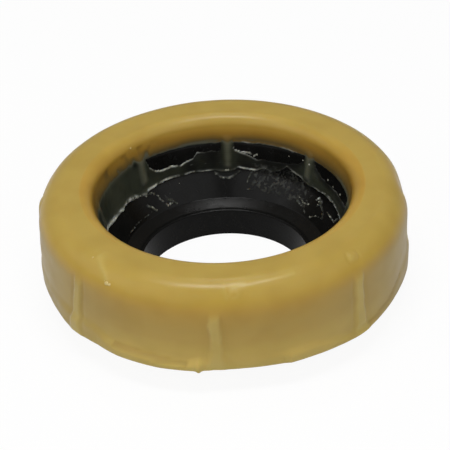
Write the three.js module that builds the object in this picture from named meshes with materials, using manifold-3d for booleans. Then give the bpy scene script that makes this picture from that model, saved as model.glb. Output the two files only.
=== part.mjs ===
// Wax pan seal with a plastic horn, in millimetres, +Z up.
// A thick ring of soft wax is poured round the flange of a moulded plastic horn. The horn is a
// funnel: a collar and a cone lead down to a narrow shelf, and a short spout goes on through it
// into the waste pipe. The wax wraps the horn's flange, grips it through a circle of keying holes,
// and leaves a thin skin over the inside of the collar. Both walls of the ring carry eight upright
// ribs, left by the draining flutes of the mould.
// The part stands on the spout's rim, and its origin is the middle of that rim.

import * as THREE from 'three';
import * as BufferGeometryUtils from 'three/addons/utils/BufferGeometryUtils.js';
import Module from 'manifold-3d';

const wasm = await Module();
wasm.setup();

// Wax ring
const waxDiameter = 133.4; // over the wall at the shoulder
const waxHeight = 33.3; // from the flat underside to the crown
const wallDraft = 0.4; // how much the wall draws in from the shoulder to the foot
const footRound = 1.5;
const shoulderWidth = 9.2; // the round from the wall to the flat crown, where the pan's outlet lands
const shoulderHeight = 11;
const lipRound = 4.5; // from the crown down into the throat
const throatDraft = THREE.MathUtils.degToRad(7); // lean of the wax wall above the collar
const skinThickness = 0.5; // wax skin over the collar
const skinWave = 0.9; // how far the lower edge of the skin wanders up and down
const throatFootGap = 1.5; // the wax wall turns into the skin this far above the collar's rim
const skinWaves = [
  { count: 5, share: 0.6, phase: 0.7 },
  { count: 13, share: 0.4, phase: 2.1 },
];

// Ribs on both walls of the ring
const ribCount = 8;
const ribWidth = 6.4; // on the outer wall, at the foot
const ribTaper = 0.7; // share of that width left at the top of the rib
const ribSharpness = 0.8; // 1 is a plain half wave across the rib, and less is plumper
const outerRibRise = 0.95;
const outerRibTop = 26.8; // height of the rib's face above the wax's underside
const outerRibLedge = 2.6; // height of the slope that closes the top of a rib against the shoulder
const innerRibRise = 1.1;
const innerRibTopShare = 0.8; // share of that rise left at the foot of the throat
const innerRibDrop = 0.7; // how far an inner rib draws the skin down
const ribDrawWidth = 1.4; // how much wider than the rib that drop is

// Plastic horn
const hornWall = 1.7;
const spoutBore = 60.3; // inside diameter at the spout's rim
const spoutReach = 9.2; // below the wax's underside
const spoutDraft = THREE.MathUtils.degToRad(4);
const shelfWidth = 6.4;
const shelfRise = 1.5; // the shelf climbs this much from the spout to the cone
const shelfHeight = 1.2; // inner edge of the shelf, above the wax's underside
const coneWidth = 5.9; // from the shelf to the collar, measured outward
const coneHeight = 8.8;
const collarLean = THREE.MathUtils.degToRad(13);
const collarHeight = 11.8;
const flangeWidth = 8; // from the collar outward, inside the wax
const keyHoleCount = 16;
const keyHoleDiameter = 4.6;
const spoutEdgeRound = 1.2; // where the shelf turns down into the spout
const shelfCornerRound = 2.4;
const collarFootRound = 9;
const rimRound = 2.4; // where the collar turns out into the flange
const sharpRound = 0.3; // the least that a corner is rounded

// Clearance between the wax and the plastic that it is cast on
const bondGap = 0.3;

// How finely round things are divided
const hornSegments = 72;
const ribSteps = 3; // on each side of a rib's middle
const panelSteps = 3; // from a rib's edge to the middle of the plain wall beside it
const footSteps = 2;
const wallSteps = 2;
const shoulderSteps = 6;
const lipSteps = 4;
const filletSteps = 3;
const skinSteps = 4;
const holeSegments = 10;

// Heights and radii that follow from them
const waxUnderside = spoutReach;
const crownTop = waxUnderside + waxHeight;
const wallRadius = waxDiameter / 2;
const wallTop = crownTop - shoulderHeight;
const spoutRimRadius = spoutBore / 2;
const shelfInnerHeight = waxUnderside + shelfHeight;
const spoutTopRadius = spoutRimRadius + shelfInnerHeight * Math.tan(spoutDraft);
const shelfOuterRadius = spoutTopRadius + shelfWidth;
const coneFoot = shelfInnerHeight + shelfRise;
const collarFoot = coneFoot + coneHeight;
const collarFootRadius = shelfOuterRadius + coneWidth;
const collarTop = collarFoot + collarHeight;
const collarTopRadius = collarFootRadius + collarHeight * Math.tan(collarLean);
const flangeRadius = collarTopRadius + flangeWidth;
const flangeTop = collarTop;
const undersideInner = shelfOuterRadius + hornWall + bondGap; // inner edge of the wax's underside

const point = (radius, height) => new THREE.Vector2(radius, height);

// A run of straight lines through corners, with each inner corner rounded to its own radius, or to
// less where the round would take more than its share of a side.
const sideShare = 0.45;
function filletedPath(corners, radii) {
  const path = [corners[0]];
  for (let i = 1; i < corners.length - 1; i++) {
    const corner = corners[i];
    const back = corners[i - 1].clone().sub(corner);
    const ahead = corners[i + 1].clone().sub(corner);
    const halfTurn = back.angleTo(ahead) / 2;
    const room = sideShare * Math.min(back.length(), ahead.length()) * Math.tan(halfTurn);
    const radius = Math.min(radii[i - 1], room);
    const setback = radius / Math.tan(halfTurn);
    const start = corner.clone().add(back.setLength(setback));
    const end = corner.clone().add(ahead.setLength(setback));
    const round = new THREE.QuadraticBezierCurve(start, corner, end);
    path.push(...round.getPoints(filletSteps));
  }
  path.push(corners[corners.length - 1]);
  return path;
}

// Corners moved sideways by a distance, to the right of the direction of travel, with sharp mitres.
function offsetCorners(corners, distance) {
  return corners.map((at, i) => {
    const before = i > 0 ? at.clone().sub(corners[i - 1]).normalize() : null;
    const after = i < corners.length - 1 ? corners[i + 1].clone().sub(at).normalize() : null;
    const a = before ?? after;
    const b = after ?? before;
    const normal = point(a.y + b.y, -a.x - b.x).normalize();
    const mitre = 1 / (normal.x * a.y - normal.y * a.x);
    return at.clone().addScaledVector(normal, distance * mitre);
  });
}

// Points of an upward path between two heights, evenly spaced in height.
function samplePath(path, fromHeight, toHeight, count) {
  const radiusAt = (height) => {
    const next = path.findIndex((at) => at.y >= height);
    if (next <= 0) return path[next < 0 ? path.length - 1 : 0].x;
    const share = (height - path[next - 1].y) / (path[next].y - path[next - 1].y);
    return THREE.MathUtils.lerp(path[next - 1].x, path[next].x, share);
  };
  return Array.from({ length: count }, (_, i) => {
    const height = THREE.MathUtils.lerp(fromHeight, toHeight, i / (count - 1));
    return point(radiusAt(height), height);
  });
}

// A closed ring through one closed section for each angle. Every section has the same number of
// points, and runs anticlockwise with the radius to the right and the height up.
function ringThroughSections(sectionAt, angles) {
  const sections = angles.map(sectionAt);
  const size = sections[0].length;
  const positions = [];
  const indices = [];
  sections.forEach((section, j) => {
    const cos = Math.cos(angles[j]);
    const sin = Math.sin(angles[j]);
    for (const at of section) positions.push(at.x * cos, at.x * sin, at.y);
  });
  for (let j = 0; j < angles.length; j++) {
    const here = j * size;
    const beyond = ((j + 1) % angles.length) * size;
    for (let i = 0; i < size; i++) {
      const next = (i + 1) % size;
      indices.push(here + i, beyond + i, beyond + next, here + i, beyond + next, here + next);
    }
  }
  const geometry = new THREE.BufferGeometry();
  geometry.setAttribute('position', new THREE.Float32BufferAttribute(positions, 3));
  geometry.setIndex(indices);
  return geometry;
}

function toSolid(geometry) {
  const bare = geometry.clone();
  bare.deleteAttribute('normal');
  bare.deleteAttribute('uv');
  const merged = BufferGeometryUtils.mergeVertices(bare, 1e-5);
  return new wasm.Manifold(new wasm.Mesh({
    numProp: 3,
    vertProperties: new Float32Array(merged.attributes.position.array),
    triVerts: new Uint32Array(merged.index.array),
  }));
}

function toGeometry(solid) {
  const mesh = solid.getMesh();
  const geometry = new THREE.BufferGeometry();
  geometry.setAttribute('position', new THREE.BufferAttribute(mesh.vertProperties, 3));
  geometry.setIndex(new THREE.BufferAttribute(mesh.triVerts, 1));
  geometry.computeVertexNormals();
  return geometry;
}

// Upright cylinders on a circle, one for each keying hole.
function keyCylinders(radius, bottom, top) {
  const circle = (collarTopRadius + flangeRadius) / 2;
  const turn = (2 * Math.PI) / keyHoleCount;
  return Array.from({ length: keyHoleCount }, (_, i) => {
    const cylinder = new THREE.CylinderGeometry(radius, radius, top - bottom, holeSegments);
    cylinder.rotateX(Math.PI / 2);
    const angle = (i + 0.5) * turn;
    cylinder.translate(circle * Math.cos(angle), circle * Math.sin(angle), (bottom + top) / 2);
    return toSolid(cylinder);
  });
}

// The horn's inside runs from the spout's rim up to the flange's edge. This is that line, moved
// through the plastic by a distance: 0 is the inside, and the wall's thickness is the outside.
const hornCorners = [
  point(spoutRimRadius, 0),
  point(spoutTopRadius, shelfInnerHeight),
  point(shelfOuterRadius, coneFoot),
  point(collarFootRadius, collarFoot),
  point(collarTopRadius, collarTop),
  point(flangeRadius, flangeTop),
];
function hornLine(distance) {
  const radii = [
    Math.max(sharpRound, spoutEdgeRound - distance),
    shelfCornerRound + distance,
    collarFootRound + distance,
    Math.max(sharpRound, rimRound - distance),
  ];
  const line = filletedPath(offsetCorners(hornCorners, distance), radii);
  line[0].y = 0;
  return line;
}

function makeHorn() {
  const outline = [...hornLine(hornWall), ...hornLine(0).reverse()];
  const lathe = new THREE.LatheGeometry([...outline, outline[0]], hornSegments);
  lathe.rotateX(Math.PI / 2);
  let horn = toSolid(lathe);
  const holes = keyCylinders(keyHoleDiameter / 2, flangeTop - 2 * hornWall, flangeTop + hornWall);
  for (const hole of holes) horn = horn.subtract(hole);
  return toGeometry(horn);
}

// Rise of a rib at an angle, from 1 on its middle line to 0 at its edge.
const ribSpacing = (2 * Math.PI) / ribCount;
const firstRib = -Math.PI / 2;
const ribHalfAngle = ribWidth / 2 / wallRadius;
function ribShape(angle, widthShare = 1) {
  const away = angle - firstRib - ribSpacing * Math.round((angle - firstRib) / ribSpacing);
  const share = Math.abs(away) / (ribHalfAngle * widthShare);
  return share < 1 ? Math.cos((share * Math.PI) / 2) ** ribSharpness : 0;
}

// The skin's lower edge wanders, and dips a little at each rib.
function skinFoot(angle) {
  let wander = 0;
  for (const wave of skinWaves) wander += wave.share * Math.sin(wave.count * angle + wave.phase);
  return collarFoot - skinWave * wander - innerRibDrop * ribShape(angle, ribDrawWidth);
}

// Radius of the wall between the ribs: a slight draft, then the round of the shoulder.
function plainWall(height) {
  if (height <= wallTop) return wallRadius - (wallDraft * (wallTop - height)) / (wallTop - waxUnderside);
  const rise = Math.min(1, (height - wallTop) / shoulderHeight);
  return wallRadius - shoulderWidth * (1 - Math.sqrt(1 - rise * rise));
}

// How far a rib stands out of that wall. Its face goes on straight up where the shoulder rounds
// away behind it, and a short slope closes its top.
function outerRib(angle, height) {
  const above = (height - waxUnderside - outerRibTop) / outerRibLedge;
  const left = 1 - THREE.MathUtils.clamp(above, 0, 1);
  const recess = height > wallTop ? wallRadius - plainWall(height) : 0;
  const width = THREE.MathUtils.lerp(1, ribTaper, (height - waxUnderside) / outerRibTop);
  return (outerRibRise + recess) * left * ribShape(angle, width);
}

// The outside of the wax at one angle, from the flat underside to the crown.
function waxOutside(angle) {
  const line = [];
  for (let i = 0; i <= footSteps; i++) {
    const turn = (i * Math.PI) / 2 / footSteps;
    const height = waxUnderside + footRound * (1 - Math.cos(turn));
    const radius = plainWall(height) - footRound * (1 - Math.sin(turn));
    line.push(point(radius + outerRib(angle, height), height));
  }
  const heights = [waxUnderside + outerRibTop, waxUnderside + outerRibTop + outerRibLedge];
  for (let i = 1; i <= wallSteps; i++) {
    heights.push(THREE.MathUtils.lerp(waxUnderside + footRound, wallTop, i / wallSteps));
  }
  for (let i = 1; i <= shoulderSteps; i++) {
    heights.push(wallTop + shoulderHeight * Math.sin((i * Math.PI) / 2 / shoulderSteps));
  }
  for (const height of heights.sort((low, high) => low - high)) {
    line.push(point(plainWall(height) + outerRib(angle, height), height));
  }
  return line;
}

// The inside of the wax at one angle, from the crown over the lip and down the throat, and on down
// the face of the skin to its lower edge.
function waxInside(angle, skinBack) {
  const lipFoot = crownTop - lipRound;
  const throatRadius = collarTopRadius + (lipFoot - collarTop) * Math.tan(throatDraft);
  const line = [];
  for (let i = 0; i <= lipSteps; i++) {
    const turn = (i * Math.PI) / 2 / lipSteps;
    line.push(point(throatRadius + lipRound * (1 - Math.sin(turn)), lipFoot + lipRound * Math.cos(turn)));
  }
  const rib = innerRibRise * ribShape(angle);
  const throatFootRadius = collarTopRadius + throatFootGap * Math.tan(throatDraft);
  line.push(point(throatFootRadius - rib * innerRibTopShare, collarTop + throatFootGap));
  for (const at of skinBack.slice().reverse()) line.push(point(at.x - skinThickness - rib, at.y));
  return line;
}

// The cavity that the horn leaves in the wax, from the rim of the collar round the flange and down
// behind the funnel to the underside.
function waxCavity(roundRim) {
  const underFlange = flangeTop - hornWall - bondGap;
  const back = hornLine(hornWall + bondGap).slice(0, -1).reverse();
  const behind = back.filter((at) => at.x > undersideInner);
  const last = behind[behind.length - 1];
  const below = back[behind.length];
  const share = (undersideInner - last.x) / (below.x - last.x);
  return [
    ...roundRim,
    point(flangeRadius + bondGap, flangeTop + bondGap),
    point(flangeRadius + bondGap, underFlange),
    ...behind,
    point(undersideInner, THREE.MathUtils.lerp(last.y, below.y, share)),
    point(undersideInner, waxUnderside),
  ];
}

// The whole section of the wax at one angle, anticlockwise from the inner edge of its underside.
function waxSection(angle) {
  const skinSide = hornLine(-bondGap);
  const roundRim = skinSide.slice(-filletSteps - 2, -1);
  const skinBack = samplePath(skinSide, skinFoot(angle), roundRim[0].y, skinSteps);
  return [
    ...waxOutside(angle),
    ...waxInside(angle, skinBack),
    ...skinBack,
    ...waxCavity(roundRim.slice(1)),
  ];
}

// Angles of the sections: close together across a rib, wider over the plain wall.
function sectionAngles() {
  const angles = [];
  for (let rib = 0; rib < ribCount; rib++) {
    const middle = firstRib + rib * ribSpacing;
    for (let i = -ribSteps; i <= ribSteps; i++) angles.push(middle + (i * ribHalfAngle) / ribSteps);
    const plain = ribSpacing - 2 * ribHalfAngle;
    const steps = 2 * panelSteps;
    for (let i = 1; i < steps; i++) angles.push(middle + ribHalfAngle + (i * plain) / steps);
  }
  return angles;
}

function makeWax() {
  let wax = toSolid(ringThroughSections(waxSection, sectionAngles()));
  const overlap = 0.5;
  const plugBottom = flangeTop - hornWall - bondGap - overlap;
  const plugs = keyCylinders(keyHoleDiameter / 2 - bondGap, plugBottom, flangeTop + bondGap + overlap);
  for (const plug of plugs) wax = wax.add(plug);
  return toGeometry(wax);
}

const waxMaterial = new THREE.MeshStandardMaterial({ color: 0xb4995a, roughness: 0.42, metalness: 0 });
const hornMaterial = new THREE.MeshStandardMaterial({ color: 0x1c1c1b, roughness: 0.38, metalness: 0 });

const waxRing = new THREE.Mesh(makeWax(), waxMaterial);
waxRing.name = 'wax_ring';

const plasticHorn = new THREE.Mesh(makeHorn(), hornMaterial);
plasticHorn.name = 'plastic_horn';

const panSeal = new THREE.Group();
panSeal.add(waxRing, plasticHorn);

export default panSeal;
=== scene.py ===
# %% [markdown]
# # A wax pan seal with a plastic horn
# A pan seal closes the joint between a toilet pan and the waste pipe in the floor. It is a thick
# ring of soft, sticky wax, poured round the flange of a black plastic horn. The horn is a funnel
# whose short spout reaches down into the pipe.
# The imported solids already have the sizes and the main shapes. This lesson dresses them: the wax
# gets its mould ribs, its slumped foot and its creases, and the funnel gets the thin torn skin of
# wax that stays on the plastic when the core of the mould is pulled out.
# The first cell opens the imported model. Everything after it is placed in that frame, in metres.

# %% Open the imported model
import math

import bmesh
import bpy
import numpy as np
from mathutils import Matrix, Vector


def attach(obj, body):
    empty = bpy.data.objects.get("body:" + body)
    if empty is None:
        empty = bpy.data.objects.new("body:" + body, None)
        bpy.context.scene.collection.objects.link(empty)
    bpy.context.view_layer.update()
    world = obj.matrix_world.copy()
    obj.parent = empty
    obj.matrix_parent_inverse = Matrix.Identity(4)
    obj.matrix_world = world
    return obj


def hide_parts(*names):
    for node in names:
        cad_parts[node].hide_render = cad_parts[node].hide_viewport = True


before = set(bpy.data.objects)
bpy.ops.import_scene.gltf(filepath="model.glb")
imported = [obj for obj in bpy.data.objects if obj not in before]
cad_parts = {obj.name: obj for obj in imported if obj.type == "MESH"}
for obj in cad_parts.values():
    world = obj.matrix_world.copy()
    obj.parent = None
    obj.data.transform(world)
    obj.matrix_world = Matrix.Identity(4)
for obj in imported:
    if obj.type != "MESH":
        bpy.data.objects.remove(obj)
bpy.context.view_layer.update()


# %% [markdown]
# ## Sizes
# A maker would read these off the drawing of the part. They are the sizes that the solids were
# built from, in millimetres, with the height measured from the rim of the spout. Two things
# differ a little: the wall stands straighter, because soft wax swells out below its shoulder, and
# the horn's shelf is flat by the spout before it slopes up.

# %% Sizes of the wax ring
mm = 0.001
crown_top = 42.5
wax_underside = 9.2
wall_radius = 66.7
wall_draft = 0.15
foot_round = 1.5
shoulder_width = 9.2
shoulder_height = 11.0
wall_top = crown_top - shoulder_height
lip_round = 4.5
lip_foot = crown_top - lip_round
throat_lean = math.radians(7)
print("wax:", 2 * wall_radius, "mm across and", round(crown_top - wax_underside, 1), "mm thick")

# %% Sizes of the plastic horn
horn_wall = 1.7
bond_gap = 0.3
collar_height = 11.8
collar_lean = math.radians(13)
flange_width = 8.0
spout_rim = Vector((30.15, 0.0))
spout_top = Vector((30.88, 10.4))
shelf_flat = Vector((32.3, 10.42))
shelf_edge = Vector((37.28, 11.9))
collar_foot = Vector((43.18, 20.7))
collar_rim = collar_foot + Vector((collar_height * math.tan(collar_lean), collar_height))
flange_edge = collar_rim + Vector((flange_width, 0.0))
key_hole_count = 16
key_hole_radius = 2.3
# The throat's radius at the foot of the lip follows from the collar's rim.
throat_radius = collar_rim.x + (lip_foot - collar_rim.y) * math.tan(throat_lean)
print("horn:", round(2 * flange_edge.x, 1), "mm across its flange")

# %% [markdown]
# ## Drawing a ring by its section
# Everything here is round, so each piece is drawn as a section, half of what a saw would show, and
# carried round the ring. A lathe would keep the section the same all the way. Real wax is not that
# regular, so the section is worked out afresh at each angle, and the points of neighbouring
# sections are joined by faces. That gives ribs, dents and a wandering edge from plain arithmetic.

# %% Bring things into the scene
def add_object(name, data):
    """Put a mesh, a lamp or a camera in the scene."""
    thing = bpy.data.objects.new(name, data)
    bpy.context.scene.collection.objects.link(thing)
    return thing


def finished_mesh(name, build):
    """The mesh that bmesh has built."""
    mesh = bpy.data.meshes.new(name)
    build.to_mesh(mesh)
    build.free()
    return mesh


# %% A mesh from sections round the ring
def ring_mesh(name, turn, radius, height, closed, keep=None):
    """Faces through the sections: a row for each turn in degrees, a column for each point."""
    turns, points = radius.shape
    around = np.radians(turn)[:, None]
    places = np.stack([radius * np.cos(around), radius * np.sin(around), height], -1) * mm
    here = np.arange(turns * points).reshape(turns, points)
    beyond = np.roll(here, -1, 0)
    across = points if closed else points - 1
    quads = np.stack([here, beyond, np.roll(beyond, -1, 1), np.roll(here, -1, 1)], -1)[:, :across]
    if keep is not None:
        quads = quads[keep[:, :across]]
    mesh = bpy.data.meshes.new(name)
    mesh.from_pydata(places.reshape(-1, 3).tolist(), [], quads.reshape(-1, 4).tolist())
    mesh.shade_smooth()
    return add_object(name, mesh)


# %% Lines with rounded corners
def rounded(corners, radii, steps=8):
    """A run of straight lines with a short curve at each inner corner."""
    line = [corners[0]]
    for before, corner, after, radius in zip(corners, corners[1:], corners[2:], radii):
        back, ahead = before - corner, after - corner
        half_turn = back.angle(ahead) / 2
        room = 0.45 * min(back.length, ahead.length) * math.tan(half_turn)
        setback = min(radius, room) / math.tan(half_turn)
        start = corner + back.normalized() * setback
        end = corner + ahead.normalized() * setback
        for share in np.linspace(0, 1, steps + 1):
            bend = corner * 2 * share * (1 - share)
            line.append(start * (1 - share) ** 2 + bend + end * share**2)
    line.append(corners[-1])
    return line


def evenly(line, spacing):
    """The same line as radii and heights at an even spacing, with the run along it."""
    radius, height = np.array(line).T
    run = np.concatenate([[0], np.cumsum(np.hypot(np.diff(radius), np.diff(height)))])
    even = np.linspace(0, run[-1], round(run[-1] / spacing) + 1)
    return np.interp(even, run, radius), np.interp(even, run, height), even


# %% [markdown]
# ## The horn
# The horn is one injection moulding, 1.7 mm thick all over. From the pipe upward it is a spout, a
# narrow shelf, a cone, a steep collar, and a flat flange that is buried in the wax. The flange has
# a circle of holes, so that the wax can flow through and key to it. A moulding of even thickness
# is one line drawn twice: the inside, and the same line moved out through the wall.

# %% The line of the horn, moved out through its wall
def horn_line(distance):
    """The inside of the horn, from the spout's rim to the flange, moved out by a distance."""
    corners = [spout_rim, spout_top, shelf_flat, shelf_edge, collar_foot, collar_rim, flange_edge]
    # Moving out tightens the curves that bend outward, and widens the others.
    radii = [0.8 - distance, 3.0, 0.7 + distance, 9 + distance, 2.4 - distance]
    moved = []
    for i, corner in enumerate(corners):
        before = (corner - corners[i - 1]).normalized() if i else None
        after = (corners[i + 1] - corner).normalized() if i + 1 < len(corners) else None
        before, after = before or after, after or before
        outward = Vector((before.y + after.y, -before.x - after.x)).normalized()
        mitre = 1 / (outward.x * before.y - outward.y * before.x)
        moved.append(corner + outward * distance * mitre)
    line = rounded(moved, [max(0.3, radius) for radius in radii])
    line[0].y = 0
    return line


# %% Spin the horn
horn_sides = 240
horn_outline = horn_line(horn_wall) + horn_line(0)[::-1]
horn_turns = np.linspace(0, 360, horn_sides, endpoint=False)
horn_radius, horn_height = (np.tile(side, (horn_sides, 1)) for side in np.array(horn_outline).T)
horn = ring_mesh("horn", horn_turns, horn_radius, horn_height, closed=True)
print("horn:", len(horn_outline), "points in its section")

# %% Punch the keying holes
def at_angle(angle, radius, height):
    """The point or the direction at an angle in degrees, from its radius and height."""
    angle = math.radians(angle)
    return Vector((radius * math.cos(angle), radius * math.sin(angle), height))


hole_circle = (collar_rim.x + flange_edge.x) / 2
hole_radius = key_hole_radius * mm
sharp_from = math.radians(32)
punch = bmesh.new()
for i in range(key_hole_count):
    centre = at_angle((i + 0.5) * 360 / key_hole_count, hole_circle, collar_rim.y)
    bmesh.ops.create_cone(
        punch, cap_ends=True, segments=24, radius1=hole_radius, radius2=hole_radius,
        depth=4 * horn_wall * mm, matrix=Matrix.Translation(centre * mm),
    )
key_punch = add_object("key_punch", finished_mesh("key_punch", punch))
cut = horn.modifiers.new("keying holes", "BOOLEAN")
cut.object = key_punch
scene_now = bpy.context.evaluated_depsgraph_get()
punched = bpy.data.meshes.new_from_object(horn.evaluated_get(scene_now))
horn.modifiers.clear()
horn.data = punched
horn.data.shade_smooth()
horn.data.set_sharp_from_angle(angle=sharp_from)
bpy.data.objects.remove(key_punch)
print("horn:", len(horn.data.polygons), "faces with its", key_hole_count, "holes")

# %% [markdown]
# ## Randomness that closes on itself
# Poured wax has slow waves in it, and torn wax has a ragged edge. Both are random, but they have
# to meet themselves after a full turn, and they have to be the same each time the lesson runs. So
# the random numbers sit on a grid that is wrapped round the ring, each grid has its own seed, and
# the values between are blended.

# %% Waves round the ring
wave_circle = 50  # mm from the middle, where a wave has its full size


def soft_step(start, end, value):
    """A soft step from 0 to 1, as a value goes from start to end."""
    share = np.clip((value - start) / (end - start), 0, 1)
    return share * share * (3 - 2 * share)


def waves(turn, along, size, seed):
    """Soft random waves from -1 to 1, about size mm across."""
    cells = round(2 * math.pi * wave_circle / size)
    column = turn / 360 * cells
    row = (along - np.min(along)) / size
    grid = np.random.default_rng(seed).uniform(-1, 1, (cells, int(np.max(row)) + 2))
    left, low = np.floor(column).astype(int), np.floor(row).astype(int)
    x, y = soft_step(0, 1, column - left), soft_step(0, 1, row - low)
    left, right = left % cells, (left + 1) % cells
    lower = grid[left, low] * (1 - x) + grid[right, low] * x
    upper = grid[left, low + 1] * (1 - x) + grid[right, low + 1] * x
    return lower * (1 - y) + upper * y


def layers_of_waves(turn, along, *layers):
    """Waves added up. Each layer is its strength, its size in mm and its seed."""
    return sum(strength * waves(turn, along, size, seed) for strength, size, seed in layers)


def ragged(turn, seed):
    """A torn edge's wander from -1 to 1, with coarse and fine teeth."""
    teeth = (0.5, 5, seed), (0.3, 2, seed + 1), (0.2, 0.9, seed + 2)
    return layers_of_waves(turn, np.zeros_like(turn), *teeth)


print("waves once round:", np.round(ragged(np.linspace(0, 360, 4), 1), 2))

# %% Values and distances round the ring
def round_curve(points, turn):
    """A value that changes round the ring, through (degrees, value) points."""
    degrees, values = np.array(points, float).T
    return np.interp(turn, degrees, values, period=360)


def degrees_past(turn, angle):
    """Degrees from an angle to a turn, the shorter way round."""
    return (turn - angle + 180) % 360 - 180


def arc(turn, angle, radius):
    """The same in mm, on a circle."""
    return np.radians(degrees_past(turn, angle)) * radius


def away_from_line(turn, run, radius, line):
    """Distance in mm to a line of (degrees, run) points on the unrolled wall."""
    nearest = np.full(np.broadcast(turn, run).shape, np.inf)
    for (start, low), (end, high) in zip(line, line[1:]):
        sideways, across, rise = arc(turn, start, radius), arc(end, start, radius), high - low
        share = np.clip((sideways * across + (run - low) * rise) / (across**2 + rise**2), 0, 1)
        away = np.hypot(sideways - share * across, run - low - share * rise)
        nearest = np.minimum(nearest, away)
    return nearest


def hump(away, width):
    """1 at a place, a third at its width from there, and next to nothing at twice that."""
    return np.exp(-((away / width) ** 2))


# %% [markdown]
# ## The outside of the ring
# The mould's wall has eight draining flutes, which leave eight upright ribs. The wall stands
# nearly straight, then rounds over in a broad shoulder to the flat crown that the pan lands on. A
# rib's face goes on straight up where the shoulder rounds away behind it, and then slopes shut.

# %% Rows of the outside, from the underside to the lip
wax_sides = 720
wax_turns = np.linspace(0, 360, wax_sides, endpoint=False)
turn = wax_turns[:, None]
quarter = math.pi / 2
foot_turn = np.linspace(0, quarter, 5)
shoulder_turn = np.linspace(0, quarter, 17)[1:]
lip_turn = np.linspace(0, quarter, 9)[:-1]
outside_height = np.concatenate([
    wax_underside + foot_round * (1 - np.cos(foot_turn)),
    np.linspace(wax_underside + foot_round, wall_top, 22)[1:],
    wall_top + shoulder_height * np.sin(shoulder_turn),
])
foot_inset = np.zeros(len(outside_height))
foot_inset[:len(foot_turn)] = foot_round * (1 - np.sin(foot_turn))


def plain_wall(height):
    """The radius of the outside without its ribs."""
    draft = wall_draft * np.clip(wall_top - height, 0, None) / (wall_top - wax_underside)
    rise = np.clip((height - wall_top) / shoulder_height, 0, 1)
    return wall_radius - draft - shoulder_width * (1 - np.sqrt(1 - rise * rise))


print("outside:", len(outside_height), "rows of", wax_sides, "points")

# %% The mould ribs on the outside
rib_rise = 0.95
rib_width = 6.4
fillet_depth = 0.22
shut_below, shut_above = 3.4, 0.8  # where a rib slopes shut, about its top
# Each rib is its angle at the top and at the foot, its strength and the height of its top.
outer_ribs = [
    (-90.1, -90.1, 0.8, 33.6), (-136.1, -138.8, 0.8, 34.8), (-43.4, -42.2, 0.8, 34.8),
    (0, 0, 0.15, 38.0), (45, 45, 0.8, 38.0), (90, 90, 0.8, 38.0), (135, 135, 0.8, 38.0),
    (181, 181, 0.4, 38.0),
]


def outer_rib(turn, height):
    """How far the ribs stand out, and the painted light on their faces with painted shade in their
    fillets. Each leans a little.
    """
    climb = np.clip((height - wax_underside) / (wall_top - wax_underside), 0, 1)
    recess = wall_radius - plain_wall(np.maximum(height, wall_top))
    wander = layers_of_waves(turn, height, (0.5, 5, 11), (0.3, 1.8, 12))
    half_width = rib_width / 2 * (0.72 + 0.7 * (1 - climb) ** 4)
    rise, face_light = 0, 0
    for top, foot, strength, rib_top in outer_ribs:
        closing = 1 - soft_step(rib_top - shut_below, rib_top + shut_above, height)
        away = arc(turn, foot + (top - foot) * climb, wall_radius)
        share = np.abs(away + wander * 0.8) / half_width
        face = 1 - soft_step(0.5, 1.08, share)
        fillet = hump(share - 1.25, 0.3)
        rise = rise + strength * closing * ((rib_rise + recess) * face - fillet_depth * fillet)
        # Painted light on each rib's face, and painted shade in its fillets.
        face_light = np.maximum(face_light, closing * (face * (1 + 0.5 * wander) - 0.4 * fillet))
    return rise, face_light


# %% [markdown]
# ## The slumped foot
# Wax creeps. The ring has been squeezed in its box, so its foot bulges out in one place and draws
# in at another, and a fold runs above each bulge. There is a small nib where the wax was cut off.
# The bulge is a curve round the ring, and a fold is a groove along a drawn line.

# %% Bulges at the foot
foot_flare = 0.6
fold_width = 0.55
# How far the foot bulges out: degrees and mm.
foot_bulge = [
    (-168, 0.0), (-158, -0.35), (-150, -0.2), (-144, 0.3), (-140, 0.5), (-129, 0.2), (-125, 0.7),
    (-121, 1.1), (-107, 1.3), (-103, 1.0), (-97, 0.8), (-96.2, 0.9), (-95.2, 2.0), (-94.3, 0.4),
    (-91, -0.5), (-82, -0.7), (-74, -0.4), (-70, -0.1), (-68, 0.55), (-60, 0.4), (-52, 0.6),
    (-46, 1.1), (-41, 0.9), (-32, 0.1), (-22, -0.3), (-17, -0.3), (-8, 0.1), (8, 0.3), (40, 0.0),
    (70, 0.3), (100, -0.2), (130, 0.2), (160, -0.1),
]
# The folds are drawn as lines: degrees and height.
left_fold = [
    (-127, 15.4), (-125.2, 14.5), (-122, 14.0), (-116.8, 14.3), (-110.1, 13.6), (-104, 13.0),
    (-99, 12.3),
]
right_fold = [(-18, 16.8), (-22, 15.2), (-26.5, 13.2), (-32.9, 12.3), (-40.2, 11.2), (-45, 10.6)]
folds = [(left_fold[2:], 0.6), (right_fold, 0.3)]  # with their depths in mm
# The bulge ends at the folds, and runs level between them.
bulge_top = [(-130, 17), *left_fold[1:], (-95, 13.5), (-60, 14), *right_fold[::-1], (0, 17)]


def foot_swell(turn, height):
    """How far the foot stands out, from the folds down."""
    fold_height = round_curve(bulge_top, turn)
    below_fold = soft_step(fold_height + 1.6, fold_height - 1.4, height)
    return (foot_flare + round_curve(foot_bulge, turn)) * below_fold


def fold_depth(turn, height):
    """How far the folds are pressed in."""
    depth = 0
    for fold, deep in folds:
        depth = depth + deep * hump(away_from_line(turn, height, wall_radius, fold), fold_width)
    return depth


# %% Marks on the shoulder
shoulder_circle = 63
shoulder_slope = 1.7  # mm along the rounded shoulder for one of height
# A print is a shallow ring groove: degrees, height, size and depth.
prints = [(-84.0, 39.4, 2.3, 0.12), (-42.6, 40.0, 2.6, 0.4)]
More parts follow.
